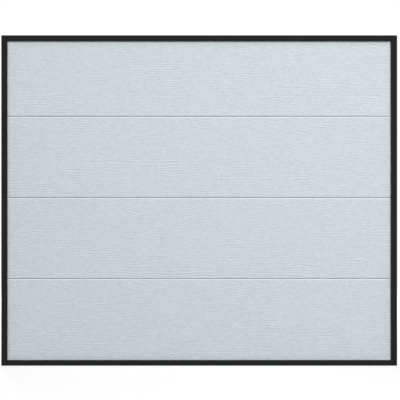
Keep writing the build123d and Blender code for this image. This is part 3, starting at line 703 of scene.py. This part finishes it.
def sectionOutline(frontY, backY, lowZ, highZ, hasGroove, hasTongue):
    # closed loop of (y, z, kind): 0 grained face, 1 plain front skin, 2 back skin, 3 rolled shoulder
    look = sectionShape
    foot = lowZ + look["jointGap"] / 2 if hasGroove else lowZ
    head = highZ - look["jointGap"] / 2 if hasTongue else highZ
    shoulder = look["shoulderRadius"] if hasTongue else look["lipRadius"]
    lip, back = look["lipRadius"], look["backRadius"]
    faceLow, faceHigh = foot + lip, head - shoulder
    rows = round((faceHigh - faceLow) / look["frontRows"])
    loop = [(frontY, z, 0) for z in np.linspace(faceLow, faceHigh, rows)]
    loop += [(y, z, 3) for y, z in arc(frontY + shoulder, head - shoulder, shoulder, 180, 90)[1:-1]]
    loop.append((frontY + shoulder, head, 1))
    if hasTongue:
        loop += [(y, z, 1) for y, z in tongueLine(frontY, backY, highZ, 0)[1:]]
    inner = arc(backY - back, head - back, back, 90, 0)
    for rib in range(look["backRibs"]):
        ribZ = head - (head - foot) * (rib + 1) / (look["backRibs"] + 1)
        half, flat, depth = look["backRibHalf"], look["backRibFlat"], look["backRibDepth"]
        inner += [(backY, ribZ + half), (backY - depth, ribZ + flat),
                  (backY - depth, ribZ - flat), (backY, ribZ - half)]
    inner += arc(backY - back, foot + back, back, 0, -90)
    loop += [(y, z, 2) for y, z in inner]
    under = arc(frontY + lip, foot + lip, lip, 270, 180)[:-1]
    if hasGroove:
        under = tongueLine(frontY, backY, lowZ, look["tongueClearance"])[::-1] + under
    return loop + [(y, z, 1) for y, z in under]


def makeSection(name, index):
    look = sectionShape
    low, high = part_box(name + "_section")
    hasGroove, hasTongue = index > 0, index < len(look["order"]) - 1
    lowZ = low.z - look["jointGap"] / 2 if hasGroove else low.z
    highZ = high.z - look["tongueRise"] if hasTongue else high.z
    loop = sectionOutline(low.y, high.y, lowZ, highZ, hasGroove, hasTongue)
    outline = np.array([point[:2] for point in loop])
    kinds = np.array([point[2] for point in loop])
    across = np.linspace(low.x, high.x, look["stations"])
    gridX, gridZ = np.meshgrid(across, outline[:, 1], indexing="ij")
    gridY = np.broadcast_to(outline[:, 0], gridX.shape).copy()
    face = kinds == 0
    faceZ = gridZ[:, face]
    fade = np.clip(np.minimum(faceZ - faceZ.min(), faceZ.max() - faceZ) / woodGrain["edgeFade"], 0, 1)
    seed = woodGrain["seeds"]["first"] + woodGrain["seeds"]["nextSection"] * index
    relief, tone = grainRelief(gridX[:, face] - low.x, faceZ - lowZ, highZ - lowZ, seed)
    gridY[:, face] += woodGrain["depth"] * relief * fade
    # painted grain shade, stored at each point for the material
    shade = np.zeros_like(gridY)
    shade[:, face] = tone * fade
    verts = np.stack((gridX, gridY, gridZ), axis=-1).reshape(-1, 3)
    faces = ringFaces(look["stations"], len(loop), clockwise=True)
    skin = makePiece(name + "_section_skin", (verts, faces), "section_skin", stands=[name + "_section"]).data
    skin.materials.append(sectionBack)
    around = np.where((kinds == 2) & (np.roll(kinds, -1) == 2), 1, 0)
    sides = np.concatenate((np.tile(around, look["stations"] - 1), [0, 0])).astype(np.int32)
    skin.polygons.foreach_set("material_index", sides)
    # the rolled shoulder points, where the material paints a highlight
    rolled = np.broadcast_to(kinds == 3, gridY.shape)
    for label, values in (("grainPaintedShade", shade), ("shoulderHighlight", rolled)):
        stored = skin.attributes.new(label, "FLOAT", "POINT").data
        stored.foreach_set("value", np.asarray(values, np.float32).ravel())


tell("grained sections")
for index, name in enumerate(sectionShape["order"]):
    makeSection(name, index)


def jointHeights():
    names = sectionShape["order"][:-1]
    return [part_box(name + "_section")[1].z - sectionShape["tongueRise"] for name in names]


jointShadeGasket = {"halfHeight": 0.0013, "thickness": 0.0011, "bulge": 0.5, "sink": 0.0001, "roundSteps": 5}


def makeJointShadeGaskets():
    # soft dark rubber strips on the front of each tongue, seen through the gap between two sections; besides
    # sealing, they stand in for the shade in the gap, a painted shade
    look = jointShadeGasket
    low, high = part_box("bottom_section")
    seatY = low.y + sectionShape["tongueInset"] + look["sink"]
    angles = np.linspace(-math.pi / 2, math.pi / 2, look["roundSteps"])
    outline = [(seatY - look["thickness"] * math.cos(a) ** look["bulge"], look["halfHeight"] * math.sin(a))
               for a in angles]
    parts = []
    for jointZ in jointHeights():
        ends = [[(x, y, jointZ + z) for y, z in outline] for x in (low.x, high.x)]
        parts.append((np.array(ends[0] + ends[1]), ringFaces(2, len(outline), clockwise=True)))
    makePiece("joint_shade_gaskets", joined(parts), "seal_rubber", sharp=50)


tell("joint gaskets")
makeJointShadeGaskets()


# Torsion springs, wound from round wire with the coils nearly touching

springShape = {"wire": 0.006, "coilGap": 0.0003, "innerGap": 0.014, "sidesRound": 7, "stepsATurn": 22}


def springCoil(side, startX, endX, centreY, centreZ, outer):
    look = springShape
    radius = outer - look["wire"] / 2
    firstX, lastX = startX + look["wire"] / 2, endX - look["wire"] / 2
    turns = (lastX - firstX) / (look["wire"] + look["coilGap"])
    steps = round(turns * look["stepsATurn"])
    share = np.linspace(0, 1, steps)
    angle = share * turns * 2 * math.pi * side
    outward = np.column_stack((np.zeros(steps), np.cos(angle), np.sin(angle)))
    centres = outward * radius + np.array((0, centreY, centreZ))
    centres[:, 0] = side * (firstX + share * (lastX - firstX))
    alongX = np.array((-side, 0, 0))
    verts = []
    for spoke in np.arange(look["sidesRound"]) * 2 * math.pi / look["sidesRound"]:
        verts.append(centres + look["wire"] / 2 * (math.cos(spoke) * outward + math.sin(spoke) * alongX))
    return np.stack(verts, axis=1).reshape(-1, 3), ringFaces(steps, look["sidesRound"])


def makeSprings():
    low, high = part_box("torsion_springs")
    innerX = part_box("centre_bearing_plate")[1].x + springShape["innerGap"]
    centreY, centreZ = (low.y + high.y) / 2, (low.z + high.z) / 2
    outer = (high.z - low.z) / 2
    coils = [springCoil(side, innerX, high.x, centreY, centreZ, outer) for side in (1, -1)]
    makePiece("spring_coils", joined(coils), "spring_steel", stands=["torsion_springs"], sharp=60)


tell("torsion springs")
makeSprings()


# Lift cables: six strands about a core, laid along the route from the bottom bracket to the drum

cableShape = {
    "radius": 0.0015, "strands": 6, "pointsAStrand": 2, "groove": 0.16, "layLength": 0.019,
    "ringStep": 0.0032, "turnStepsLeast": 6,
}
cableCollar = {
    "radii": [0.0024, 0.0029, 0.0029, 0.0024], "heights": [0, 0.001, 0.021, 0.022],
    "rise": 0.012, "sides": 16,
}


def cableRoute(lowEnd, runZ, endY, bend):
    y, z = lowEnd
    step = cableShape["ringStep"]
    rise = np.arange(z, runZ - bend - step / 2, step)
    turn = np.linspace(0, math.pi / 2, max(cableShape["turnStepsLeast"], round(bend * math.pi / 2 / step)))
    run = np.arange(y + bend + step, endY - step / 2, step)
    ys = np.concatenate((np.full(len(rise), y), y + bend - bend * np.cos(turn), run, [endY]))
    zs = np.concatenate((rise, runZ - bend + bend * np.sin(turn), np.full(len(run) + 1, runZ)))
    heading = np.concatenate((np.full(len(rise), math.pi / 2), math.pi / 2 - turn, np.zeros(len(run) + 1)))
    return ys, zs, heading


def cableMesh(side, x, lowEnd, runZ, endY, bend, radius):
    ys, zs, heading = cableRoute(lowEnd, runZ, endY, bend)
    length = np.concatenate(([0], np.cumsum(np.hypot(np.diff(ys), np.diff(zs)))))
    sides = cableShape["strands"] * cableShape["pointsAStrand"]
    spokes = np.arange(sides) * 2 * math.pi / sides
    size = radius * (1 - cableShape["groove"] * (np.arange(sides) % cableShape["pointsAStrand"]))
    twist = side * length[:, None] / cableShape["layLength"] * 2 * math.pi + spokes
    sideways, upward = size * np.cos(twist), size * np.sin(twist)
    verts = np.stack((side * x + sideways, ys[:, None] - upward * np.sin(heading)[:, None],
                      zs[:, None] + upward * np.cos(heading)[:, None]), axis=-1)
    return verts.reshape(-1, 3), ringFaces(len(ys), sides, clockwise=True)


def makeCables():
    low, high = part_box("lift_cables")
    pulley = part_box("cable_pulleys")
    radius = cableShape["radius"]
    x = high.x - radius
    riseY, runZ = low.y + radius, high.z - radius
    bend = (pulley[0].y + pulley[1].y) / 2 - riseY
    cables = [cableMesh(side, x, (riseY, low.z), runZ, high.y, bend, radius) for side in (1, -1)]
    makePiece("cable_strands", joined(cables), "cable_steel", stands=["lift_cables"], sharp=80)
    collars = []
    for side in (1, -1):
        sleeve = turned(cableCollar["radii"], cableCollar["heights"], cableCollar["sides"])
        collars.append(stood(sleeve, (side * x, riseY, low.z + cableCollar["rise"]), (0, 0, 1)))
    makePiece("cable_collars", joined(collars), "cast_alloy")


tell("lift cables")
makeCables()


# Screws, bolts and rivets

hingeScrew = {"acrossFlats": 0.0095, "flange": 0.0072, "rim": 0.0013, "height": 0.0056}
smallScrew = {"acrossFlats": 0.0050, "flange": 0.0034, "rim": 0.0006, "height": 0.0030}


turnSeeds = {
    "hinge_screws": 5, "hinge_pin_heads": 6, "end_cap_rivets": 7, "bracket_screws": 8, "track_rivets": 9,
    "set_screws": 10, "bearing_screws": 11, "pulley_pin_heads": 12,
}


def fitHeads(name, head, spots):
    turns = np.random.default_rng(turnSeeds[name]).uniform(0, math.pi / 3, len(spots))
    parts = [stood(head, place, direction, turn) for (place, direction), turn in zip(spots, turns)]
    makePiece(name, joined(parts), "bright_steel", screwZinc, sharp=30)


def makeHingeScrews():
    spread = {"middleX": 0.62, "screwX": 0.020, "screwZ": 0.033, "sheet": 0.002, "edgeInset": 0.036}
    spots = []
    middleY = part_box("middle_hinges")[0].y + spread["sheet"]
    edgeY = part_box("roller_hinges")[0].y + spread["sheet"]
    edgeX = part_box("bottom_section_end_caps")[1].x - spread["edgeInset"]
    for jointZ in jointHeights():
        for dx in (-spread["screwX"], spread["screwX"]):
            for dz in (-spread["screwZ"], spread["screwZ"]):
                z = jointZ + dz
                spots += [((column * spread["middleX"] + dx, middleY, z), (0, 1, 0)) for column in (-1, 0, 1)]
                spots += [((side * edgeX + dx, edgeY, z), (0, 1, 0)) for side in (-1, 1)]
    fitHeads("hinge_screws", hexScrew(hingeScrew), spots)


def makeHingePins():
    pins = {"middleX": 0.62, "halfWidth": 0.032, "pinY": 0.006, "radius": 0.0027, "height": 0.0012}
    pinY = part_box("bottom_section")[1].y + pins["pinY"]
    spots = [((column * pins["middleX"] + side * pins["halfWidth"], pinY, jointZ), (side, 0, 0))
             for jointZ in jointHeights() for column in (-1, 0, 1) for side in (-1, 1)]
    fitHeads("hinge_pin_heads", domeHead(pins["radius"], pins["height"]), spots)


def makeCapRivets():
    rivets = {"inset": 0.0615, "shares": (0.31, 0.42, 0.53, 0.64), "radius": 0.0032, "height": 0.0014}
    spots = []
    for name in sectionShape["order"]:
        low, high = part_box(name + "_section_end_caps")
        x = high.x - rivets["inset"]
        spots += [((side * x, high.y, low.z + (high.z - low.z) * share), (0, 1, 0))
                  for side in (-1, 1) for share in rivets["shares"]]
    fitHeads("end_cap_rivets", domeHead(rivets["radius"], rivets["height"]), spots)


def makeBracketScrews():
    rows = {"plateY": 0.0025, "columns": (0.0185, 0.0525, 0.080),
            "bottom": (0.020, 0.100), "top": (0.134, 0.040)}
    nearEdge, nearFoot = rows["columns"][0], rows["bottom"][0]   # the cable's foot takes this one's place
    spots = []
    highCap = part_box("top_section_end_caps")[1]
    seat = highCap.y + rows["plateY"]
    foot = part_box("bottom_brackets")[0].z
    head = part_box("top_section")[1].z
    for side in (-1, 1):
        for column in rows["columns"]:
            x = side * (highCap.x - column)
            spots += [((x, seat, head - drop), (0, 1, 0)) for drop in rows["top"]]
            spots += [((x, seat, foot + rise), (0, 1, 0)) for rise in rows["bottom"]
                      if column != nearEdge or rise != nearFoot]
    fitHeads("bracket_screws", hexScrew(hingeScrew), spots)


def makeTrackRivets():
    look = {"radius": 0.0062, "height": 0.0014, "sheet": 0.0015, "bend": 0.170, "footDrop": 0.072,
            "front": (0.150, 0.230), "rear": 0.050, "bracketInset": 0.030}
    low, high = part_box("right_vertical_track")
    innerX, outerX = high.x - look["sheet"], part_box("right_wall_angle")[1].x
    trackY = (low.y + high.y) / 2
    lower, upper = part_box("right_lower_track"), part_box("right_upper_track")
    half = (high.y - low.y) / 2
    lowerZ, upperZ = lower[1].z - half, (upper[0].z + upper[1].z) / 2
    stops = [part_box("bottom_brackets")[1].z - look["footDrop"]] + jointHeights() + [high.z]
    places = [(trackY, (first + second) / 2) for first, second in zip(stops, stops[1:])]
    reach = look["bend"] * math.sqrt(0.5)
    places.append((trackY + look["bend"] - reach, high.z + reach))
    places += [(y, upperZ) for y in look["front"]]
    rearY = lower[1].y - look["rear"]
    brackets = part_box("wall_brackets")
    bracketYs = [brackets[0].y + look["bracketInset"], brackets[1].y - look["bracketInset"]]
    places += [(y, z) for y in (*bracketYs, rearY) for z in (lowerZ, upperZ)]
    inside = [((side * innerX, y, z), (-side, 0, 0)) for side in (-1, 1) for y, z in places]
    outside = [((side * outerX, y, z), (side, 0, 0)) for side in (-1, 1) for y, z in places]
    fitHeads("track_rivets", domeHead(look["radius"], look["height"]), inside + outside)


tell("screws, bolts and rivets")
makeHingeScrews()
makeHingePins()
makeCapRivets()
makeBracketScrews()
makeTrackRivets()


def ringBody(profile, sides=28):
    # closed profile of (radius, height) turned about local Z
    angles = np.arange(sides) * 2 * math.pi / sides
    radii, heights = np.array(profile).T
    verts = np.stack((radii * np.cos(angles)[:, None], radii * np.sin(angles)[:, None],
                      np.broadcast_to(heights, (sides, len(heights)))), axis=-1).reshape(-1, 3)
    count = len(profile)
    faces = [[turn * count + step, (turn + 1) % sides * count + step,
              (turn + 1) % sides * count + (step + 1) % count, turn * count + (step + 1) % count]
             for turn in range(sides) for step in range(count)]
    return verts, faces


def makeRollerHubs():
    hub = {"bore": 0.0051, "outer": 0.0115, "step": 0.0085, "thin": 0.0006, "thick": 0.0012, "wheel": 0.023}
    profile = [(hub["bore"], 0), (hub["outer"], 0), (hub["outer"], hub["thin"]), (hub["step"], hub["thin"]),
               (hub["step"], hub["thick"]), (hub["bore"], hub["thick"])]
    low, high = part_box("right_rollers")
    places = [(low.y + hub["wheel"], low.z + hub["wheel"])]
    places += [(low.y + hub["wheel"], z) for z in jointHeights()]
    places.append((high.y - hub["wheel"], high.z - hub["wheel"]))
    parts = [stood(ringBody(profile), (side * low.x, y, z), (-side, 0, 0))
             for side in (-1, 1) for y, z in places]
    makePiece("roller_hubs", joined(parts), "bright_steel", screwZinc, sharp=40)


def makeShaftScrews():
    look = {"turns": (35, 125), "hubRadius": 0.020, "hubX": 0.0135, "drumInset": 0.0065,
            "flangeRadius": 0.034, "flangeHalf": 0.007,
            "bearingTurns": (90, 210, 330), "bearingRadius": 0.0175, "bearingInset": 0.012,
            "pinRadius": 0.008, "pinHeight": 0.0022, "pulleyInset": 0.009}
    low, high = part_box("torsion_shaft")
    centreY, centreZ = (low.y + high.y) / 2, (low.z + high.z) / 2
    plateX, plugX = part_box("centre_bearing_plate")[1].x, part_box("spring_plugs")[1].x
    seats = [(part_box("cable_drums")[1].x - look["hubX"] - look["drumInset"], look["hubRadius"]),
             (plugX - look["flangeHalf"], look["flangeRadius"]),
             (plateX + look["flangeHalf"], look["flangeRadius"])]
    spots = []
    for turn in np.radians(look["turns"]):
        out = (0, math.cos(turn), math.sin(turn))
        for x, radius in seats:
            y, z = centreY + radius * out[1], centreZ + radius * out[2]
            spots += [((side * x, y, z), out) for side in (-1, 1)]
    fitHeads("set_screws", hexScrew(hingeScrew), spots)
    small = []
    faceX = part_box("shaft_bearings")[1].x - look["bearingInset"]
    for turn in np.radians(look["bearingTurns"]):
        y = centreY + look["bearingRadius"] * math.cos(turn)
        z = centreZ + look["bearingRadius"] * math.sin(turn)
        small += [((side * faceX, y, z), (-side, 0, 0)) for side in (-1, 1)]
    fitHeads("bearing_screws", hexScrew(smallScrew), small)
    low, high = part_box("cable_pulleys")
    pinX, pinY, pinZ = high.x - look["pulleyInset"], (low.y + high.y) / 2, (low.z + high.z) / 2
    pins = [((side * pinX, pinY, pinZ), (-side, 0, 0)) for side in (-1, 1)]
    fitHeads("pulley_pin_heads", domeHead(look["pinRadius"], look["pinHeight"]), pins)


tell("roller hubs and shaft screws")
makeRollerHubs()
makeShaftScrews()


# Camera, light and floor

studio = {
    "lens": 135.0, "sensor": 36.0, "clipEnd": 200.0,
    "photoWidth": 400, "metresAPixel": 0.006509,
    "offCentre": (0.0052, 0.0033),       # camera right of and above the middle of the frame
    "ambient": 0.18, "ambientColour": (0.97, 0.985, 1.0, 1),
    "lamps": {                           # place, size, power and whether its highlights show
        "keyLamp": ((3.2, -9.0, 4.1), 3.0, 636.0, False),
        "fillLamp": ((-3.5, -8.5, 2.6), 4.0, 90.0, False),
        "topLamp": ((0.8, -4.6, 6.8), 1.3, 54.0, True),
        "rearLamp": ((-1.5, 8.5, 3.6), 4.0, 700.0, False),
    },
    "floorRadius": 9.0, "floorSides": 64, "floorFade": (4.0, 8.6),
    "floorPaint": {"Base Color": (0.50, 0.50, 0.50, 1), "Roughness": 0.9, "Specular IOR Level": 0.0},
    "floorLift": 0.66,
}


def makeCamera():
    low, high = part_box("frame_head")
    lens = bpy.data.cameras.new("camera")
    lens.lens, lens.sensor_width, lens.clip_end = studio["lens"], studio["sensor"], studio["clipEnd"]
    camera = addObject("camera", lens)
    distance = studio["photoWidth"] * studio["metresAPixel"] * studio["lens"] / studio["sensor"]
    right, above = studio["offCentre"]
    camera.location = (right, low.y - distance, high.z / 2 + above)
    camera.rotation_euler = (math.pi / 2, 0, 0)
    bpy.context.scene.camera = camera


def makeLamp(name, place, size, power, highlights):
    light = bpy.data.lights.new(name, "AREA")
    light.shape, light.size, light.energy = "SQUARE", size, power
    lamp = addObject(name, light)
    lamp.location = place
    aim = (cadBox[0] + cadBox[1]) / 2
    lamp.rotation_euler = (Vector((aim.x, 0, aim.z)) - Vector(place)).to_track_quat("-Z", "Y").to_euler()
    lamp.visible_camera = False
    lamp.visible_glossy = highlights


def seenRays(tree):
    # 1 where the camera sees it, also in metal or through something clear
    ray = put(tree, "LightPath").outputs
    direct = largest(tree, ray["Is Camera Ray"], ray["Is Glossy Ray"])
    return largest(tree, direct, ray["Is Transmission Ray"])


def makeWorld():
    world = bpy.data.worlds.new("studioWorld")
    world.use_nodes = True
    tree = world.node_tree
    tree.nodes.clear()
    ambient = put(tree, "Background", {"Color": studio["ambientColour"], "Strength": studio["ambient"]})
    white = put(tree, "Background", {"Color": (1, 1, 1, 1), "Strength": 1.0})
    mix = put(tree, "MixShader", {0: seenRays(tree), 1: ambient.outputs[0], 2: white.outputs[0]})
    result = put(tree, "OutputWorld", {"Surface": mix.outputs[0]})
    result.is_active_output = True
    bpy.context.scene.world = world


def makeFloor():
    # round floor that fades out to the white world, so that no edge of it shows
    radius, sides = studio["floorRadius"], studio["floorSides"]
    turns = np.arange(sides) * 2 * math.pi / sides
    rim = [(radius * math.cos(turn), radius * math.sin(turn), 0) for turn in turns]
    mesh = bpy.data.meshes.new("studio_floor")
    mesh.from_pydata(rim, [], [tuple(range(sides))])
    floor = addObject("studio_floor", mesh)
    floor.location.y = (cadBox[0].y + cadBox[1].y) / 2
    material, tree = startMaterial("floorPaint", studio["floorPaint"])[:2]
    glow = times(tree, seenRays(tree), studio["floorLift"])
    lift = put(tree, "Emission", {"Color": (1, 1, 1, 1), "Strength": glow})
    both = put(tree, "AddShader", {0: tree.nodes["Principled BSDF"].outputs[0], 1: lift.outputs[0]})
    away = put(tree, "VectorMath", {0: objectPlace(tree)}, operation="LENGTH").outputs["Value"]
    below = put(tree, "NewGeometry").outputs["Backfacing"]   # from below the floor doesn't hide the door
    clear = largest(tree, remap(tree, away, *studio["floorFade"]), below)
    faded = put(tree, "MixShader", {0: clear, 1: both.outputs[0], 2: put(tree, "BsdfTransparent").outputs[0]})
    tree.links.new(faded.outputs[0], tree.nodes["Material Output"].inputs["Surface"])
    mesh.materials.append(material)


tell("camera, light and floor")
makeCamera()
for name, settings in studio["lamps"].items():
    makeLamp(name, *settings)
makeWorld()
makeFloor()
bpy.context.scene.view_settings.view_transform = "Standard"

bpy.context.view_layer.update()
tell("done")
